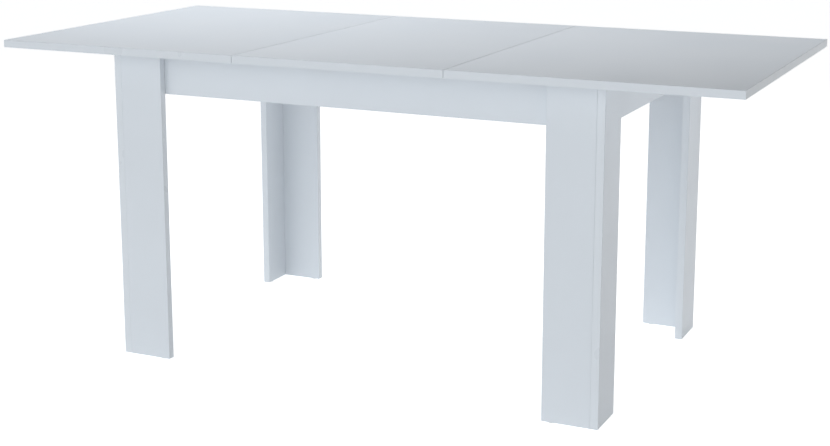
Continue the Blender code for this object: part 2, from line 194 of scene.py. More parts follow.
# %% Make the lamps
# name: (place, what it looks at, size in metres, power in watts)
SOFTBOXES = {
    "softbox over the top": ((-1.0, 0.5, 2.1), (-1.0, 0.5, 0.0), 1.4, 11.6),
    "softbox behind": ((2.4, 1.9, 1.3), (0.6, 0.4, 0.4), 1.2, 7.8),
}
LAMP_COLOUR = (0.97, 1.0, 1.04)
SPOT_PLACE = (-0.5, 1.5, 3.76)
SPOT_TARGET = (-0.5, 1.5, 0.0)
SPOT_POWER = 103.0
SPOT_HALF_ANGLE = math.radians(41)
SPOT_FADE = 0.4
SPOT_SIZE = 0.3


def hang_lamp(name, light, place, target):
    light.color = LAMP_COLOUR
    lamp = bpy.data.objects.new(name, light)
    lamp.location = place
    lamp.rotation_euler = (Vector(target) - lamp.location).to_track_quat("-Z", "Y").to_euler()
    lamp.visible_camera = False
    bpy.context.scene.collection.objects.link(lamp)
    print(name, light.energy, "W")


for name, (place, target, size, power) in SOFTBOXES.items():
    light = bpy.data.lights.new(name, "AREA")
    light.shape = "DISK"
    light.size = size
    light.energy = power
    hang_lamp(name, light, place, target)

spot = bpy.data.lights.new("spotlight behind", "SPOT")
spot.energy = SPOT_POWER
spot.spot_size = 2 * SPOT_HALF_ANGLE
spot.spot_blend = SPOT_FADE
spot.shadow_soft_size = SPOT_SIZE
hang_lamp("spotlight behind", spot, SPOT_PLACE, SPOT_TARGET)

# %% [markdown]
# ## The floor
# A studio's white paper sweep has lamps of its own, so that it stays white right up to the
# table. A glow in the floor's own material does the same, and lights the table from below. The
# camera gets a little more of the glow than the table does, so that the paper is pure white in
# the picture. The floor's lower face lets everything through, so that the table can also be
# looked at from below.

# %% Make the floor
FLOOR_SIZE = 60.0
PAPER_WHITE = (0.93, 0.93, 0.93, 1.0)
FLOOR_GLOW = 0.505
FLOOR_GLOW_SEEN = 0.72


def make_floor():
    shape = bmesh.new()
    bmesh.ops.create_grid(shape, x_segments=1, y_segments=1, size=FLOOR_SIZE / 2)
    mesh = bpy.data.meshes.new("floor")
    shape.to_mesh(mesh)
    shape.free()
    paper = bpy.data.materials.new("white paper sweep")
    paper.use_nodes = True
    tree = paper.node_tree
    shader = tree.nodes["Principled BSDF"]
    shader.inputs["Base Color"].default_value = PAPER_WHITE
    shader.inputs["Roughness"].default_value = 0.9
    shader.inputs["Specular IOR Level"].default_value = 0.1
    shader.inputs["Emission Color"].default_value = PLAIN_WHITE
    seen = add(tree, "ShaderNodeLightPath").outputs["Is Camera Ray"]
    levels = {"Value": seen, "To Min": FLOOR_GLOW, "To Max": FLOOR_GLOW_SEEN}
    glow = add(tree, "ShaderNodeMapRange", levels).outputs["Result"]
    tree.links.new(glow, shader.inputs["Emission Strength"])
    clear = add(tree, "ShaderNodeBsdfTransparent").outputs[0]
    below = add(tree, "ShaderNodeNewGeometry").outputs["Backfacing"]
    both = add(tree, "ShaderNodeMixShader", {0: below, 1: shader.outputs[0], 2: clear}).outputs[0]
    tree.links.new(both, tree.nodes["Material Output"].inputs["Surface"])
    mesh.materials.append(paper)
    floor = bpy.data.objects.new("floor", mesh)
    bpy.context.scene.collection.objects.link(floor)


make_floor()
print("floor", FLOOR_SIZE, "m across")

# %% [markdown]
# ## Patterns that more than one finish uses
# A shader node group is a pattern with a name, built once and used in several materials with
# different values. Each group here takes a position and some sizes, and puts out a height for
# the bump and a mask that shifts the colour and the gloss.

# %% A helper that starts a node group
def new_group(name, inputs, outputs):
    """A shader node group with the named sockets, and its nodes for what goes in and out."""
    group = bpy.data.node_groups.new(name, "ShaderNodeTree")
    for label, kind, value in inputs:
        socket = group.interface.new_socket(label, in_out="INPUT", socket_type=kind)
        if value is not None:
            socket.default_value = value
    for label, kind in outputs:
        group.interface.new_socket(label, in_out="OUTPUT", socket_type=kind)
    return group, group.nodes.new("NodeGroupInput"), group.nodes.new("NodeGroupOutput")


# %% [markdown]
# ### Pearl grain
# A melamine board is pressed between steel plates with a fine pebbled texture, about half a
# millimetre from bump to bump. It is what makes the board satin and not glossy. Moulded plastic has
# the same kind of skin, only coarser. Two sizes of noise give the bumps, and a third, as broad as a
# hand, makes the gloss vary as it does after years of wiping.

# %% Build the pearl grain
FINE_SHARE = 0.6  # how much the fine noise adds to the pebbles


def make_pearl_grain():
    group, given, out = new_group(
        "pearl grain",
        [
            ("Position", "NodeSocketVector", None),
            ("Bump Spacing", "NodeSocketFloat", 0.0006),
            ("Wiped Patch Size", "NodeSocketFloat", 0.18),
        ],
        [("Height", "NodeSocketFloat"), ("Wiping", "NodeSocketFloat")],
    )
    per_bump = math_node(group, "DIVIDE", 1.0, given.outputs["Bump Spacing"])
    per_patch = math_node(group, "DIVIDE", 1.0, given.outputs["Wiped Patch Size"])
    place = given.outputs["Position"]
    bumps = {"Vector": place, "Scale": per_bump}
    fine = add(group, "ShaderNodeTexNoise", {**bumps, "Detail": 1.0}).outputs[0]
    cells = add(group, "ShaderNodeTexVoronoi", bumps, feature="SMOOTH_F1").outputs["Distance"]
    wiped = {"Vector": place, "Scale": per_patch, "Detail": 3.0, "Roughness": 0.55}
    patches = add(group, "ShaderNodeTexNoise", wiped).outputs[0]
    height = math_node(group, "ADD", math_node(group, "MULTIPLY", fine, FINE_SHARE), cells)
    group.links.new(height, out.inputs["Height"])
    group.links.new(patches, out.inputs["Wiping"])
    return group


pearl_grain = make_pearl_grain()
print("built", pearl_grain.name)

# %% [markdown]
# ### Drawn lines
# Extruded aluminium and rolled steel are pulled through a die or between rolls, which leaves
# fine lines along their length. Noise that is stretched along one axis gives those lines. The
# stretch is an input, so the same group serves both metals.

# %% Build the drawn lines
BROAD_LINES = 0.12  # how many broad lines there are for each fine one


def make_drawn_lines():
    group, given, out = new_group(
        "drawn lines",
        [
            ("Position", "NodeSocketVector", None),
            ("Line Spacing", "NodeSocketFloat", 0.0005),
            ("Line Length", "NodeSocketFloat", 0.08),
        ],
        [("Height", "NodeSocketFloat"), ("Streaks", "NodeSocketFloat")],
    )
    split = add(group, "ShaderNodeSeparateXYZ", {0: given.outputs["Position"]})
    along = math_node(group, "DIVIDE", split.outputs["X"], given.outputs["Line Length"])
    across = [
        math_node(group, "DIVIDE", split.outputs[axis], given.outputs["Line Spacing"])
        for axis in "YZ"
    ]
    place = add(group, "ShaderNodeCombineXYZ", {0: along, 1: across[0], 2: across[1]}).outputs[0]
    fine = {"Vector": place, "Scale": 1.0, "Detail": 2.0}
    lines = add(group, "ShaderNodeTexNoise", fine).outputs[0]
    wide = {"Vector": place, "Scale": BROAD_LINES, "Detail": 1.0}
    broad = add(group, "ShaderNodeTexNoise", wide).outputs[0]
    group.links.new(lines, out.inputs["Height"])
    streaks = math_node(group, "MULTIPLY", math_node(group, "ADD", lines, broad), 0.5)
    group.links.new(streaks, out.inputs["Streaks"])
    return group


drawn_lines = make_drawn_lines()
print("built", drawn_lines.name)

# %% [markdown]
# ## The finishes
# Each finish is one material around a Principled BSDF. A number that is the same all over is
# set on the shader itself, and only what varies over the surface is linked. The white of the
# laminate is a touch blue, which is what makes a white board look cool and clean beside warm
# wood.

# %% A helper that starts a material
def start_material(name, roughness, metallic=0.0):
    """A new material, its tree, its shader and a position to draw patterns with."""
    material = bpy.data.materials.new(name)
    material.use_nodes = True
    tree = material.node_tree
    shader = tree.nodes["Principled BSDF"]
    shader.inputs["Roughness"].default_value = roughness
    shader.inputs["Metallic"].default_value = metallic
    place = tree.nodes.new("ShaderNodeTexCoord").outputs["Object"]
    return material, tree, shader, place


def use_group(tree, group, **values):
    """A node group placed in a material. Underscores in the names of values stand for spaces."""
    node = tree.nodes.new("ShaderNodeGroup")
    node.node_tree = group
    for label, value in values.items():
        socket = node.inputs[label.replace("_", " ")]
        if isinstance(value, bpy.types.NodeSocket):
            tree.links.new(value, socket)
        else:
            socket.default_value = value
    return node


MASK_LOW, MASK_HIGH = 0.3, 0.7  # most noise lies between these two


def shade_between(tree, mask, dark, light):
    """A colour between two, as the mask goes from its low to its high."""
    ramp = add(tree, "ShaderNodeValToRGB", {0: mask})
    stops = ramp.color_ramp.elements
    for stop, position, colour in zip(stops, (MASK_LOW, MASK_HIGH), (dark, light)):
        stop.position = position
        stop.color = (*colour, 1.0)
    return ramp.outputs[0]


def value_between(tree, mask, low, high):
    """A value between two, as the mask goes from its low to its high."""
    span = {"From Min": MASK_LOW, "From Max": MASK_HIGH, "To Min": low, "To Max": high}
    return add(tree, "ShaderNodeMapRange", {"Value": mask, **span}).outputs[0]


def bump(tree, shader, height, depth, strength=1.0):
    """Bumps of that depth, in metres, on the shader's normal."""
    node = add(tree, "ShaderNodeBump", {"Height": height, "Distance": depth, "Strength": strength})
    tree.links.new(node.outputs[0], shader.inputs["Normal"])


# %% [markdown]
# ### White laminate and its edge band
# The two look the same from a distance. The band is a strip of plastic glued round the board,
# so it is a little glossier and a shade warmer, and its grain is finer. The three boards of the
# top get copies of the laminate that differ only in brightness, which is painted shade: the left
# one is painted darkest and the right one lightest, so the top steps in shade at its two seams.

# %% White laminate and edge band
WHITE = (0.735, 0.772, 0.810)
TOP_WHITE = (0.725, 0.775, 0.825)
BAND_WHITE = (0.745, 0.780, 0.815)
# painted shade: each board of the top has its white scaled by a factor of its own
TOP_PAINTED_SHADE = {"top_left": 0.955, "top_leaf": 1.0, "top_right": 1.045}
LAMINATE_SKIN = (0.34, 0.0009, 0.000020)  # roughness, spacing and depth of the grain
BAND_SKIN = (0.30, 0.0004, 0.000006)
WIPED_SHADE = 0.985  # how dark the dull patches are
WIPED_GLOSS = 0.03  # how far the roughness strays from its middle


def white_board_finish(name, white, roughness, spacing, depth, tone=1.0):
    material, tree, shader, place = start_material(name, roughness)
    skin = use_group(tree, pearl_grain, Position=place, Bump_Spacing=spacing)
    wiping = skin.outputs["Wiping"]
    # tone scales the white; on the boards of the top it is painted shade
    light = tuple(c * tone for c in white)
    dark = tuple(c * WIPED_SHADE for c in light)
    tree.links.new(shade_between(tree, wiping, dark, light), shader.inputs["Base Color"])
    gloss = value_between(tree, wiping, roughness - WIPED_GLOSS, roughness + WIPED_GLOSS)
    tree.links.new(gloss, shader.inputs["Roughness"])
    bump(tree, shader, skin.outputs["Height"], depth)
    return material


laminate = white_board_finish("white laminate", WHITE, *LAMINATE_SKIN)
edge_band = white_board_finish("edge band", BAND_WHITE, *BAND_SKIN)
# the top's boards get copies of the laminate with painted shade, darkest left and lightest right
top_laminates_with_painted_shade = {
    node: white_board_finish(f"white laminate with painted shade of {node}", TOP_WHITE, *LAMINATE_SKIN, tone)
    for node, tone in TOP_PAINTED_SHADE.items()
}
print("white finishes:", laminate.name, edge_band.name, *top_laminates_with_painted_shade)

# %% [markdown]
# ### Raw chipboard
# Where a board's edge is hidden in a joint, there is no band, and the chipboard shows. It is
# pressed from flat wood chips, so Voronoi cells make the chips. Each cell has its own random
# colour, from pale wood to the brown of bark, and the cracks between the cells are low.

# %% Raw chipboard
CHIP_SIZE = 0.0022
CHIP_STRETCH = (0.55, 1.0, 1.6)
BARK, PALE_WOOD = (0.30, 0.19, 0.10), (0.62, 0.46, 0.29)


def make_chipboard():
    material, tree, shader, place = start_material("raw chipboard", 0.85)
    flat = add(tree, "ShaderNodeMapping", {"Vector": place, "Scale": CHIP_STRETCH}).outputs[0]
    chips = add(tree, "ShaderNodeTexVoronoi", {"Vector": flat, "Scale": 1.0 / CHIP_SIZE})
    tone = add(tree, "ShaderNodeSeparateColor", {0: chips.outputs["Color"]}).outputs[0]
    colour = shade_between(tree, tone, BARK, PALE_WOOD)
    tree.links.new(colour, shader.inputs["Base Color"])
    bump(tree, shader, chips.outputs["Distance"], 0.0004, strength=0.6)
    return material


chipboard = make_chipboard()
print("built", chipboard.name)

# %% [markdown]
# ### Beech
# The corner blocks are cut from plain beech. Its rings are straight and close, and short dark
# flecks lie along the grain. A wave texture that noise bends a little gives the rings, and
# stretched noise gives the flecks.

# %% Beech
GRAIN_STRETCH = (1.0, 1.0, 0.10)
RINGS_SHARE = 0.6  # how much of the pattern is rings, and the rest is flecks
BEECH_DARK, BEECH_LIGHT = (0.46, 0.27, 0.14), (0.63, 0.42, 0.25)


def make_beech():
    material, tree, shader, place = start_material("planed beech", 0.55)
    along = add(tree, "ShaderNodeMapping", {"Vector": place, "Scale": GRAIN_STRETCH}).outputs[0]
    waves = {"Vector": along, "Scale": 28.0, "Distortion": 5.0, "Detail": 2.0}
    rings = add(tree, "ShaderNodeTexWave", waves, bands_direction="DIAGONAL").outputs[1]
    dots = {"Vector": along, "Scale": 900.0, "Detail": 1.0}
    flecks = add(tree, "ShaderNodeTexNoise", dots).outputs[0]
    ringed = math_node(tree, "MULTIPLY", rings, RINGS_SHARE)
    flecked = math_node(tree, "MULTIPLY", flecks, 1.0 - RINGS_SHARE)
    both = math_node(tree, "ADD", ringed, flecked)
    colour = shade_between(tree, both, BEECH_DARK, BEECH_LIGHT)
    tree.links.new(colour, shader.inputs["Base Color"])
    bump(tree, shader, both, 0.00015)
    return material


beech = make_beech()
print("built", beech.name)

# %% [markdown]
# ### Metals
# The slide rails are plain aluminium, and the channels and latches are steel with a thin coat
# of bright zinc. Both get the drawn lines. Zinc also has a faint cloudy pattern, where the coat
# is thicker or thinner, which the pearl grain's broad mask can give.

# %% Aluminium and zinc plated steel
def make_aluminium():
    material, tree, shader, place = start_material("drawn aluminium", 0.36, metallic=1.0)
    lines = use_group(tree, drawn_lines, Position=place, Line_Spacing=0.0004, Line_Length=0.12)
    streaks = lines.outputs["Streaks"]
    colour = shade_between(tree, streaks, (0.70, 0.71, 0.72), (0.80, 0.81, 0.82))
    tree.links.new(colour, shader.inputs["Base Color"])
    tree.links.new(value_between(tree, streaks, 0.30, 0.42), shader.inputs["Roughness"])
    bump(tree, shader, lines.outputs["Height"], 0.00003)
    return material


def make_zinc(name, line_length):
    material, tree, shader, place = start_material(name, 0.32, metallic=1.0)
    lines = use_group(
        tree, drawn_lines, Position=place, Line_Spacing=0.0007, Line_Length=line_length
    )
    cloud = use_group(tree, pearl_grain, Position=place, Wiped_Patch_Size=0.012)
    mask = math_node(tree, "ADD", lines.outputs["Streaks"], cloud.outputs["Wiping"])
    mask = math_node(tree, "MULTIPLY", mask, 0.5)
    colour = shade_between(tree, mask, (0.56, 0.58, 0.60), (0.68, 0.69, 0.70))
    tree.links.new(colour, shader.inputs["Base Color"])
    tree.links.new(value_between(tree, mask, 0.24, 0.40), shader.inputs["Roughness"])
    bump(tree, shader, lines.outputs["Height"], 0.00002)
    return material


aluminium = make_aluminium()
rolled_zinc = make_zinc("rolled zinc plated steel", 0.10)
pressed_zinc = make_zinc("pressed zinc plated steel", 0.002)
print("metals:", aluminium.name, rolled_zinc.name, pressed_zinc.name)

# %% [markdown]
# ### White plastic
# The glides and the leaf's pads are moulded from a slightly waxy white plastic. It lets a little
# light into itself, which softens its edges.

# %% White plastic
def make_plastic():
    material, tree, shader, place = start_material("moulded white plastic", 0.48)
    skin = use_group(tree, pearl_grain, Position=place, Bump_Spacing=0.0009)
    wiping = skin.outputs["Wiping"]
    colour = shade_between(tree, wiping, (0.72, 0.72, 0.69), (0.78, 0.78, 0.76))
    tree.links.new(colour, shader.inputs["Base Color"])
    shader.inputs["Subsurface Weight"].default_value = 0.15
    shader.inputs["Subsurface Radius"].default_value = (0.001, 0.001, 0.001)
    bump(tree, shader, skin.outputs["Height"], 0.00003)
    return material


plastic = make_plastic()
print("built", plastic.name)

# %% [markdown]
# ## Laminated boards
# A board's outer edges are rounded where the band was trimmed, its corners are rounded in plan, and
# a hairline runs round each face where the band meets the laminate. So each board is built up from
# loops. One outline, drawn ever smaller, climbs over the edge, dips into the hairline and ends at
# the flat field of the face. A raw edge, or one that butts against another board, is nearly square,
# so its side of the outline takes only a small share of each step inwards. Everything is worked out
# from the box of the board's solid, so that it stays exactly its size.

# %% The outline and the profile of a board
EDGE_ROUND = 0.0006  # the rounding where the band was trimmed
BAND = 0.0008  # the thickness of the band
HAIRLINE = 0.0003
HAIRLINE_DEPTH = 0.00012
ARC_STEPS = 3
SQUARE_SHARE = 0.1  # how much of the rounding a square edge has


def board_outline(u, v, inset, shares):
    """The points round a board's face, counterclockwise, drawn smaller by inset. u and v are the
    low and high ends of the face along its two directions. shares says how much of the inset
    each of the four sides takes, from the low end of v counterclockwise."""
    points = []
    radius = max(EDGE_ROUND - inset, 0.0)
    reach = max(EDGE_ROUND, inset)
    corners = [(u[0], v[0], 1, 1), (u[1], v[0], -1, 1), (u[1], v[1], -1, -1), (u[0], v[1], 1, -1)]
    for corner, (end_u, end_v, inward_u, inward_v) in enumerate(corners):
        share_u = shares[3] if inward_u > 0 else shares[1]
        share_v = shares[0] if inward_v > 0 else shares[2]
        for step in range(ARC_STEPS + 1):
            angle = math.pi + (corner + step / ARC_STEPS) * math.pi / 2
            in_u = reach + inward_u * radius * math.cos(angle)
            in_v = reach + inward_v * radius * math.sin(angle)
            points.append((end_u + inward_u * in_u * share_u, end_v + inward_v * in_v * share_v))
    return points


def board_profile():
    """(inset, depth below the face) from the middle of the edge to the field of the face."""
    arc = [k * math.pi / 2 / ARC_STEPS for k in range(ARC_STEPS + 1)]
    profile = [(EDGE_ROUND * (1 - math.cos(a)), EDGE_ROUND * (1 - math.sin(a))) for a in arc]
    profile += [(BAND, 0.0), (BAND + HAIRLINE / 2, HAIRLINE_DEPTH), (BAND + HAIRLINE, 0.0)]
    return profile


LOOP_POINTS = 4 * (ARC_STEPS + 1)
print("a board's face takes", len(board_profile()), "loops of", LOOP_POINTS, "points")

# %% [markdown]
# The loops are joined into one closed shell. A face between two loops is band if it is outside
# the hairline, or raw chipboard on an edge without a band, and laminate if it is inside.

# %% Build a board
LAMINATE, BANDED, RAW = 0, 1, 2


def board_shell(low, high, raw, square):
    """The shell of a board between two corners. raw and square name edges, such as +z."""
    size = high - low
    thin = min(range(3), key=lambda k: size[k])
    first, second = (thin + 1) % 3, (thin + 2) % 3
    edges = [("-", second), ("+", first), ("+", second), ("-", first)]
    raw_sides = [f"{sign}{'xyz'[axis]}" in raw for sign, axis in edges]
    square_sides = [f"{sign}{'xyz'[axis]}" in square | raw for sign, axis in edges]
    shares = [SQUARE_SHARE if is_square else 1.0 for is_square in square_sides]
    profile = board_profile()
    levels = [(inset, low[thin] + depth) for inset, depth in reversed(profile)]
    levels += [(inset, high[thin] - depth) for inset, depth in profile]
    shell = bmesh.new()
    loops = []
    for inset, level in levels:
        loop = []
        ends_u, ends_v = (low[first], high[first]), (low[second], high[second])
        for u, v in board_outline(ends_u, ends_v, inset, shares):
            place = Vector((0, 0, 0))
            place[thin], place[first], place[second] = level, u, v
            loop.append(shell.verts.new(place))
        loops.append(loop)
    field_loops = {0, 1, len(loops) - 3, len(loops) - 2}
    for row, (lower, upper) in enumerate(zip(loops, loops[1:])):
        for k in range(len(lower)):
            n = (k + 1) % len(lower)
            face = shell.faces.new((lower[k], lower[n], upper[n], upper[k]))
            kind = RAW if raw_sides[k // (ARC_STEPS + 1)] else BANDED
            face.material_index = LAMINATE if row in field_loops else kind
            face.smooth = row not in field_loops and abs(levels[row][0] - levels[row + 1][0]) > 1e-9
    shell.faces.new(list(reversed(loops[0]))).material_index = LAMINATE
    shell.faces.new(loops[-1]).material_index = LAMINATE
    bmesh.ops.remove_doubles(shell, verts=shell.verts, dist=1e-6)
    bmesh.ops.recalc_face_normals(shell, faces=shell.faces)
    return shell


def object_of(name, shell, materials):
    """An object at the origin with the shell for its mesh."""
    mesh = bpy.data.meshes.new(name)
    shell.to_mesh(mesh)
    shell.free()
    for material in materials:
        mesh.materials.append(material)
    made = bpy.data.objects.new(name, mesh)
    bpy.context.scene.collection.objects.link(made)
    return made


# %% [markdown]
# ### Holes and notches
# The legs and aprons are drilled for their bolts, and the end aprons are notched for the
# channels. A Boolean modifier cuts each of them with a solid a little larger than what goes
# through. The walls of a cut take the cutter's own material, so they show raw chipboard.

# %% Cut a board
FIT = 0.0003  # room round what goes through a board
BOLT_RADIUS = 0.003
DRILL_SIDES = 20
DRILL_OVERSHOOT = 0.0012  # how much longer the drilled hole is than its bolt
NOTCH_OVERSHOOT = 0.004  # how far the notch's cutter passes the channel's ends and the board


def plain_mesh(obj):
    """A plain mesh of the object as it is evaluated, with its modifiers applied."""
    bpy.context.view_layer.update()
    evaluated = obj.evaluated_get(bpy.context.evaluated_depsgraph_get())
    return bpy.data.meshes.new_from_object(evaluated)


def cut_board(board, cutters):
    """Cuts the board with shells, applies the cuts and removes the cutters."""
    made = []
    for number, shell in enumerate(cutters):
        cutter = object_of(f"cutter_{number}", shell, [chipboard])
        cut = board.modifiers.new(cutter.name, "BOOLEAN")
        cut.operation = "DIFFERENCE"
        cut.material_mode = "TRANSFER"
        cut.object = cutter
        made.append(cutter)
    whole = plain_mesh(board)
    board.modifiers.clear()
    board.data = whole
    for cutter in made:
        bpy.data.objects.remove(cutter)


def box_shell(low, high):
    shell = bmesh.new()
    bmesh.ops.create_cube(shell, size=1.0)
    for vertex in shell.verts:
        for k in range(3):
            vertex.co[k] = high[k] if vertex.co[k] > 0 else low[k]
    return shell


def drill_shell(bolt, axis):
    """A cutter along a bolt's shank, which lies along X or Y. It goes as far as the bolt does."""
    low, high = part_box(bolt)
    centre = (low + high) / 2
    length = high[axis] - low[axis] + DRILL_OVERSHOOT
    shell = bmesh.new()
    radius = BOLT_RADIUS + FIT
    bmesh.ops.create_cone(
        shell, cap_ends=True, segments=DRILL_SIDES, radius1=radius, radius2=radius, depth=length
    )
    turn = Vector((0, 0, 1)).rotation_difference(Vector([float(k == axis) for k in range(3)]))
    bmesh.ops.transform(
        shell, matrix=Matrix.Translation(centre) @ turn.to_matrix().to_4x4(), verts=shell.verts
    )
    return shell


# %% [markdown]
# Every board is then made the same way: build its shell, cut it, let it ride on its body, and
# let it stand for its plain solid. The seams of the top are banded like its outer edges. Edges
# that are hidden in the frame are raw. Where the two boards of a leg meet, the band of the one
# is left square and pressed up to the other, so that the joint between them is a faint line.

# %% Make the boards
JOINT_REACH = 0.00025  # how far a glued edge goes into the gap that the plain solids leave


def make_board(node, raw=frozenset(), square=frozenset(), cutters=()):
    # a board of the top takes its copy of the laminate with painted shade
    finishes = [top_laminates_with_painted_shade.get(node, laminate), edge_band, chipboard]
    low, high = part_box(node)
    for sign, axis in square:
        if sign == "+":
            high["xyz".index(axis)] += JOINT_REACH
        else:
            low["xyz".index(axis)] -= JOINT_REACH
    board = object_of(f"board_{node}", board_shell(low, high, raw, square), finishes)
    if cutters:
        cut_board(board, cutters)
    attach(board, BODY_OF[node])
    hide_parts(node)
    return board


def channel_notch(end):
    low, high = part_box(f"channel_{end}")
    grow = Vector((NOTCH_OVERSHOOT, FIT, FIT))
    return box_shell(low - grow, high + grow + Vector((0, 0, NOTCH_OVERSHOOT)))


boards = [make_board(node) for node in ("top_left", "top_right", "top_leaf")]
for end, side in CORNERS:
    sign = "+" if side == "right" else "-"
    face_bolt, side_bolt = f"leg_bolt_face_{end}_{side}", f"leg_bolt_side_{end}_{side}"
    boards += [
        make_board(f"leg_face_{end}_{side}", {"+z"}, {f"{sign}x"}, [drill_shell(face_bolt, 1)]),
        make_board(f"leg_side_{end}_{side}", {"+z"}, cutters=[drill_shell(side_bolt, 0)]),
    ]
for end in ENDS:
    drills = [drill_shell(f"leg_bolt_face_{end}_{side}", 1) for side in SIDES]
    boards.append(make_board(f"apron_{end}", {"+z", "+x", "-x"}, cutters=drills))
for side in SIDES:
    cutters = [drill_shell(f"leg_bolt_side_{end}_{side}", 0) for end in ENDS]
    cutters += [channel_notch(end) for end in ENDS]
    boards.append(make_board(f"apron_{side}", {"+z", "+y", "-y"}, cutters=cutters))
    boards.append(make_board(f"cross_rail_{side}", {"+z", "+y", "-y"}))
print(len(boards), "boards,", sum(len(b.data.polygons) for b in boards), "faces")

# %% [markdown]
# ## Metal, plastic and beech
# The solids of these pieces have the right shape, but their edges are knife sharp, and no real
# edge is. A copy of each mesh is merged into clean faces, and its sharp edges get a small
# bevel. The size of the bevel comes from how the piece was made: large on planed wood, smaller
# on moulded and folded pieces, smallest on an extrusion.

# %% Soften the edges of a solid
SHARP = math.radians(30)
FLAT = math.radians(0.5)


def softened(node, width, material, slot):
    shell = bmesh.new()
    shell.from_mesh(frame["nodes"][node].data)
    bmesh.ops.remove_doubles(shell, verts=shell.verts, dist=1e-6)
    bmesh.ops.dissolve_limit(shell, angle_limit=FLAT, verts=shell.verts, edges=shell.edges)
    sharp = [e for e in shell.edges if e.is_manifold and e.calc_face_angle() > SHARP]
    bmesh.ops.bevel(
        shell,
        geom=sharp,
        offset=width,
        segments=2,
        profile=0.5,
        affect="EDGES",
        clamp_overlap=True,
    )
    for face in shell.faces:
        face.smooth = True
        face.material_index = 0
    for edge in shell.edges:
        edge.smooth = not edge.is_manifold or edge.calc_face_angle() < SHARP
    piece = object_of(f"soft_{node}", shell, [material])
    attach(piece, BODY_OF[node])
    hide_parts(node)
    return piece


# %% Make the small pieces
# kind: (width of its bevel, material, slot)
SMALL_PIECES = {
    "corner_block": (0.0012, beech, "beech"),
    "slide_rail": (0.0003, aluminium, "aluminium"),
    "latch_plate": (0.0003, pressed_zinc, "zinc_steel"),
    "latch_lever": (0.0005, pressed_zinc, "zinc_steel"),
    "latch_stud": (0.0003, pressed_zinc, "zinc_steel"),
    "leaf_pad": (0.0008, plastic, "white_plastic"),
    "glide_face": (0.0004, plastic, "white_plastic"),
    "glide_side": (0.0004, plastic, "white_plastic"),
}
CHANNEL_EDGE = 0.0006

fittings = [
    softened(f"{kind}_{end}_{side}", *finish)
    for end, side in CORNERS
    for kind, finish in SMALL_PIECES.items()
]
fittings += [softened(f"channel_{end}", CHANNEL_EDGE, rolled_zinc, "zinc_steel") for end in ENDS]
print(len(fittings), "small pieces,", sum(len(p.data.polygons) for p in fittings), "faces")

# %% [markdown]
# ## Screws
# Every screw is the same shape in a different place, so one Geometry Nodes tree makes them all. It
# takes a cloud of points. Each point says which way its screw faces. The tree builds one head, a
# low cone with a cross cut into it, puts a copy on each point and turns each by a random angle. It
# ends by making the copies real and giving them their metal.

# %% The screw tree
TURN_SEED = 7
SCREW_CROWN = 0.62  # the top of a screw's head, of its radius
CROSS_DEPTH = 1.1  # the cutter of the cross, of the head's height
CROSS_LENGTH = 1.5  # the cross, of the crown


def new_tree(name, inputs):
    """A Geometry Nodes tree that takes a geometry and the named sizes, and gives a geometry."""
    tree = bpy.data.node_groups.new(name, "GeometryNodeTree")
    tree.interface.new_socket("Geometry", in_out="INPUT", socket_type="NodeSocketGeometry")
    for label, value in inputs:
        socket = tree.interface.new_socket(label, in_out="INPUT", socket_type="NodeSocketFloat")
        socket.default_value = value
    tree.interface.new_socket("Metal", in_out="INPUT", socket_type="NodeSocketMaterial")
    tree.interface.new_socket("Geometry", in_out="OUTPUT", socket_type="NodeSocketGeometry")
    return tree, tree.nodes.new("NodeGroupInput"), tree.nodes.new("NodeGroupOutput")


def place_on_points(tree, given, out, shape):
    """Puts the shape on every point, facing the way that the point's aim says, and turned by a
    random angle."""
    aim = add(tree, "GeometryNodeInputNamedAttribute", {"Name": "aim"}, data_type="FLOAT_VECTOR")
    aimed = {"Vector": aim.outputs[0]}
    facing = add(tree, "FunctionNodeAlignRotationToVector", aimed, axis="Z").outputs[0]
    angles = {"Max": 2 * math.pi, "Seed": TURN_SEED}
    spin = add(tree, "FunctionNodeRandomValue", angles, data_type="FLOAT")
    spin_links = {"Angle": [s for s in spin.outputs if s.enabled][0]}
    turn = add(tree, "FunctionNodeAxisAngleToRotation", spin_links).outputs[0]
    turning = {"Rotation": facing, "Rotate By": turn}
    facing = add(tree, "FunctionNodeRotateRotation", turning, rotation_space="LOCAL").outputs[0]
    placing = {"Points": given.outputs["Geometry"], "Instance": shape, "Rotation": facing}
    copies = add(tree, "GeometryNodeInstanceOnPoints", placing)
    real = add(tree, "GeometryNodeRealizeInstances", {0: copies.outputs[0]})
    finishing = {"Geometry": real.outputs[0], "Material": given.outputs["Metal"]}
    metal = add(tree, "GeometryNodeSetMaterial", finishing)
    tree.links.new(metal.outputs[0], out.inputs["Geometry"])


def moved(tree, shape, z):
    """The shape moved along Z."""
    offset = add(tree, "ShaderNodeCombineXYZ", {"Z": z}).outputs[0]
    return add(tree, "GeometryNodeTransform", {"Geometry": shape, "Translation": offset}).outputs[0]


def make_screw_tree():
    sizes = [("Head Radius", 0.0035), ("Head Height", 0.0014), ("Cross Width", 0.0009)]
    tree, given, out = new_tree("cross head screws", sizes)
    radius, height = given.outputs["Head Radius"], given.outputs["Head Height"]
    width = given.outputs["Cross Width"]
    crown = math_node(tree, "MULTIPLY", radius, SCREW_CROWN)
    cone = {"Vertices": 20, "Side Segments": 2, "Depth": height}
    cone |= {"Radius Top": crown, "Radius Bottom": radius}
    head = add(tree, "GeometryNodeMeshCone", cone).outputs[0]
    depth = math_node(tree, "MULTIPLY", height, CROSS_DEPTH)
    arm = math_node(tree, "MULTIPLY", crown, CROSS_LENGTH)
    cut = add(tree, "GeometryNodeMeshBoolean", {"Mesh 1": head}, operation="DIFFERENCE")
    for x, y in ((arm, width), (width, arm)):
        size = add(tree, "ShaderNodeCombineXYZ", {"X": x, "Y": y, "Z": depth}).outputs[0]
        block = add(tree, "GeometryNodeMeshCube", {"Size": size}).outputs[0]
        tree.links.new(moved(tree, block, height), cut.inputs["Mesh 2"])
    place_on_points(tree, given, out, cut.outputs[0])
    return tree


screw_tree = make_screw_tree()
print("built the tree", screw_tree.name)

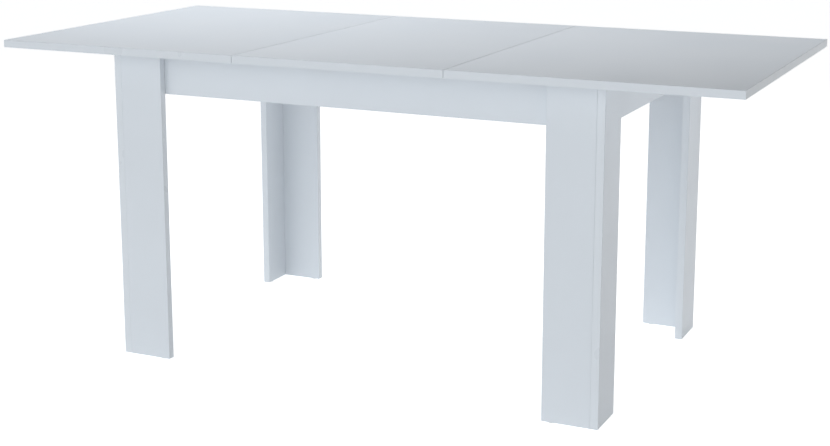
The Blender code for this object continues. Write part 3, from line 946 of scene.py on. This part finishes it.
# %% [markdown]
# ### From points to a plain mesh
# A modifier's inputs are set by the identifiers of the tree's sockets, before the object is
# evaluated for the first time. The evaluated result is turned into a plain mesh, one for each
# body, and the points and their modifier are thrown away.

# %% Run a tree on a list of places
def grow_on(name, tree, places, body, slot="zinc_steel", **sizes):
    """Runs the tree on (place, aim) pairs, and gives the plain result to a body."""
    cloud = bpy.data.meshes.new(name)
    cloud.from_pydata([tuple(place) for place, _ in places], [], [])
    aims = cloud.attributes.new("aim", "FLOAT_VECTOR", "POINT")
    aims.data.foreach_set("vector", [c for _, aim in places for c in aim])
    holder = bpy.data.objects.new(f"{name}_points", cloud)
    bpy.context.scene.collection.objects.link(holder)
    modifier = holder.modifiers.new(name, "NODES")
    modifier.node_group = tree
    sockets = {s.name: s.identifier for s in tree.interface.items_tree if s.in_out == "INPUT"}
    modifier[sockets["Metal"]] = pressed_zinc
    for label, value in sizes.items():
        modifier[sockets[label.replace("_", " ")]] = value
    grown = plain_mesh(holder)
    if "aim" in grown.attributes:
        grown.attributes.remove(grown.attributes["aim"])
    bpy.data.objects.remove(holder)
    piece = bpy.data.objects.new(name, grown)
    bpy.context.scene.collection.objects.link(piece)
    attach(piece, body)
    print(name, len(grown.polygons), "faces")
    return piece


# %% [markdown]
# ### Where the screws go
# The slide rails are screwed up into the halves through their flanges, on one side of the stem
# and the other by turns. Each latch plate has four screws, almost flush, because the lever swings
# half a millimetre under them.

# %% Screws under each half
RAIL_SCREWS = 6
RAIL_SCREW_END = 0.030  # from the end of the rail to its first screw
RAIL_SCREW_OFFSET = 0.0095  # from the middle of the rail, on its flange
RAIL_FLANGE = 0.0022
PLATE_THICK = 0.0015
PLATE_SCREW_X, PLATE_SCREW_Y = 0.0120, 0.0075
PLATE_SCREW = {"Head_Radius": 0.0026, "Head_Height": 0.00035, "Cross_Width": 0.0007}
DOWN, UP = Vector((0, 0, -1)), Vector((0, 0, 1))

for side in SIDES:
    rail_places, plate_places = [], []
    for end in ENDS:
        low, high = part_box(f"slide_rail_{end}_{side}")
        for k in range(RAIL_SCREWS):
            x = low.x + RAIL_SCREW_END
            x += (high.x - low.x - 2 * RAIL_SCREW_END) * k / (RAIL_SCREWS - 1)
            y = (low.y + high.y) / 2 + RAIL_SCREW_OFFSET * (-1) ** k
            rail_places.append((Vector((x, y, high.z - RAIL_FLANGE)), DOWN))
        low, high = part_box(f"latch_plate_{end}_{side}")
        for x in (-PLATE_SCREW_X, PLATE_SCREW_X):
            for y in (-PLATE_SCREW_Y, PLATE_SCREW_Y):
                place = (low + high) / 2 + Vector((x, y, 0))
                place.z = high.z - PLATE_THICK
                plate_places.append((place, DOWN))
    body = BODY_OF[f"top_{side}"]
    grow_on(f"rail_screws_{side}", screw_tree, rail_places, body)
    grow_on(f"plate_screws_{side}", screw_tree, plate_places, body, **PLATE_SCREW)

# %% [markdown]
# ## The frame's fittings
# The cross rails are held to the long aprons by bent steel brackets, in the corners that face the
# middle of the table. A bracket is a strip bent to a right angle, with a rounded bend. It is drawn
# once in profile and extruded.

# %% Angle brackets
BRACKET_LEG = 0.030
BRACKET_THICK = 0.0015
BRACKET_TALL = 0.018
INNER_BEND = 0.0009
OUTER_BEND = INNER_BEND + BRACKET_THICK
BEND_STEPS = 4
# two in each leg of a bracket: (distance from the corner, height from its middle)
BRACKET_SCREWS = [(0.012, -0.004), (0.024, 0.004)]


def bracket_outline():
    """The bracket's section, with its two legs along +X and +Y from the corner."""
    points = [(BRACKET_LEG, 0.0), (BRACKET_LEG, BRACKET_THICK)]
    for k in range(BEND_STEPS + 1):
        angle = -math.pi / 2 - k * math.pi / 2 / BEND_STEPS
        x, y = math.cos(angle), math.sin(angle)
        points.append((OUTER_BEND + INNER_BEND * x, OUTER_BEND + INNER_BEND * y))
    points += [(BRACKET_THICK, BRACKET_LEG), (0.0, BRACKET_LEG)]
    for k in range(BEND_STEPS + 1):
        angle = math.pi + k * math.pi / 2 / BEND_STEPS
        x, y = math.cos(angle), math.sin(angle)
        points.append((OUTER_BEND * (1 + x), OUTER_BEND * (1 + y)))
    return points


def bracket_into(shell, corner, way_x, way_y):
    """Adds a bracket in the corner at that place, with its legs going way_x and way_y."""
    lower, upper = [], []
    for x, y in bracket_outline():
        place = Vector((corner.x + way_x * x, corner.y + way_y * y, corner.z - BRACKET_TALL / 2))
        lower.append(shell.verts.new(place))
        upper.append(shell.verts.new(place + Vector((0, 0, BRACKET_TALL))))
    shell.faces.new(lower)
    shell.faces.new(list(reversed(upper)))
    for k in range(len(lower)):
        n = (k + 1) % len(lower)
        shell.faces.new((lower[k], upper[k], upper[n], lower[n]))


bracket_shell = bmesh.new()
frame_places = []
for side, sx in SIDES.items():
    rail_low, rail_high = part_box(f"cross_rail_{side}")
    face_x = rail_low.x if sx > 0 else rail_high.x
    level = (rail_low.z + rail_high.z) / 2
    for end, sy in ENDS.items():
        apron_low, apron_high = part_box(f"apron_{end}")
        face_y = apron_low.y if sy > 0 else apron_high.y
        corner = Vector((face_x - sx * FIT, face_y - sy * FIT, level))
        bracket_into(bracket_shell, corner, -sx, -sy)
        for along, lift in BRACKET_SCREWS:
            on_apron = corner + Vector((-sx * along, -sy * BRACKET_THICK, lift))
            on_rail = corner + Vector((-sx * BRACKET_THICK, -sy * along, lift))
            frame_places.append((on_apron, Vector((0, -sy, 0))))
            frame_places.append((on_rail, Vector((-sx, 0, 0))))
bmesh.ops.recalc_face_normals(bracket_shell, faces=bracket_shell.faces)
brackets = object_of("angle_brackets", bracket_shell, [pressed_zinc])
for face in brackets.data.polygons:
    face.use_smooth = True
brackets.data.set_sharp_from_angle(angle=SHARP)
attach(brackets, "frame")
print("4 brackets,", len(brackets.data.polygons), "faces")

# %% [markdown]
# Each corner block is screwed to both aprons, above and below its bolt. The channels are screwed
# down to the cross rails through their floors, with flat heads that the rails can pass over.

# %% Screws of the frame
BLOCK_SCREW_LEVELS = (0.014, 0.070)  # below the top of the frame
BLOCK_SCREW_SHIFT = 0.010
BLOCK_SCREW_STAGGER = 0.004  # the screws in one face are lower, to pass those in the other
BLOCK_SCREW = {"Head_Radius": 0.0040, "Head_Height": 0.0012}
CHANNEL_WALL = 0.002
CHANNEL_SCREW = {"Head_Radius": 0.0035, "Head_Height": 0.0002}

block_places = []
for end, side in CORNERS:
    sx, sy = SIDES[side], ENDS[end]
    low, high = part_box(f"corner_block_{end}_{side}")
    centre = (low + high) / 2
    inner_x = low.x if sx > 0 else high.x
    inner_y = low.y if sy > 0 else high.y
    for k, drop in enumerate(BLOCK_SCREW_LEVELS):
        shift = BLOCK_SCREW_SHIFT * (-1) ** k
        on_y = Vector((centre.x + shift, inner_y, frame_top - drop))
        on_x = Vector((inner_x, centre.y + shift, frame_top - drop + BLOCK_SCREW_STAGGER))
        block_places.append((on_y, Vector((0, -sy, 0))))
        block_places.append((on_x, Vector((-sx, 0, 0))))
channel_places = []
for side in SIDES:
    for end in ENDS:
        place = middle(f"cross_rail_{side}")
        channel_low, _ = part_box(f"channel_{end}")
        place.y = middle(f"channel_{end}").y
        place.z = channel_low.z + CHANNEL_WALL
        channel_places.append((place, UP))
grow_on("frame_screws", screw_tree, frame_places, "frame")
grow_on("block_screws", screw_tree, block_places, "frame", **BLOCK_SCREW)
grow_on("channel_screws", screw_tree, channel_places, "frame", **CHANNEL_SCREW)

# %% [markdown]
# ## Leg bolts
# The bolts that hold the legs have wide flat heads with a hexagonal socket, for the bent key that
# comes with such a table. A second tree makes them: a head, a shank and a six-sided hole.

# %% The bolt tree and the bolts
HEAD_HEIGHT = 0.0025
BOLT_CROWN = 0.82  # the top of a bolt's head, of its radius
KEY_DEPTH = 1.4  # the cutter of the socket, of the head's height


def make_bolt_tree():
    sizes = [
        ("Head Radius", 0.0075),
        ("Head Height", HEAD_HEIGHT),
        ("Shank Radius", BOLT_RADIUS),
        ("Shank Length", 0.07),
        ("Key Radius", 0.0023),
    ]
    tree, given, out = new_tree("socket head bolts", sizes)
    radius, height, shank_radius, length, key_radius = [given.outputs[name] for name, _ in sizes]
    crown = math_node(tree, "MULTIPLY", radius, BOLT_CROWN)
    cone = {"Vertices": 32, "Side Segments": 3, "Depth": height}
    cone |= {"Radius Top": crown, "Radius Bottom": radius}
    head = add(tree, "GeometryNodeMeshCone", cone).outputs[0]
    depth = math_node(tree, "MULTIPLY", height, KEY_DEPTH)
    key = {"Vertices": 6, "Radius": key_radius, "Depth": depth}
    key = moved(tree, add(tree, "GeometryNodeMeshCylinder", key).outputs[0], height)
    cut = add(tree, "GeometryNodeMeshBoolean", {"Mesh 1": head}, operation="DIFFERENCE")
    tree.links.new(key, cut.inputs["Mesh 2"])
    rod = {"Vertices": 20, "Radius": shank_radius, "Depth": length}
    rod = add(tree, "GeometryNodeMeshCylinder", rod).outputs[0]
    shank = moved(tree, rod, math_node(tree, "MULTIPLY", length, -0.5))
    whole = add(tree, "GeometryNodeMeshBoolean", operation="UNION")
    for part in (cut.outputs[0], shank):
        tree.links.new(part, whole.inputs["Mesh 2"])
    place_on_points(tree, given, out, whole.outputs[0])
    return tree


bolt_tree = make_bolt_tree()
for board, axis in (("face", 1), ("side", 0)):
    bolt_places, bolt_nodes = [], []
    for end, side in CORNERS:
        node = f"leg_bolt_{board}_{end}_{side}"
        low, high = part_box(node)
        outward = ENDS[end] if axis == 1 else SIDES[side]
        aim = Vector([-outward * float(k == axis) for k in range(3)])
        place = (low + high) / 2
        place[axis] = (low[axis] if outward > 0 else high[axis]) + outward * HEAD_HEIGHT
        bolt_places.append((place, aim))
        bolt_nodes.append(node)
    length = high[axis] - low[axis] - HEAD_HEIGHT
    bolts = grow_on(f"leg_bolts_{board}", bolt_tree, bolt_places, "frame", Shank_Length=length)
    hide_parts(*bolt_nodes)
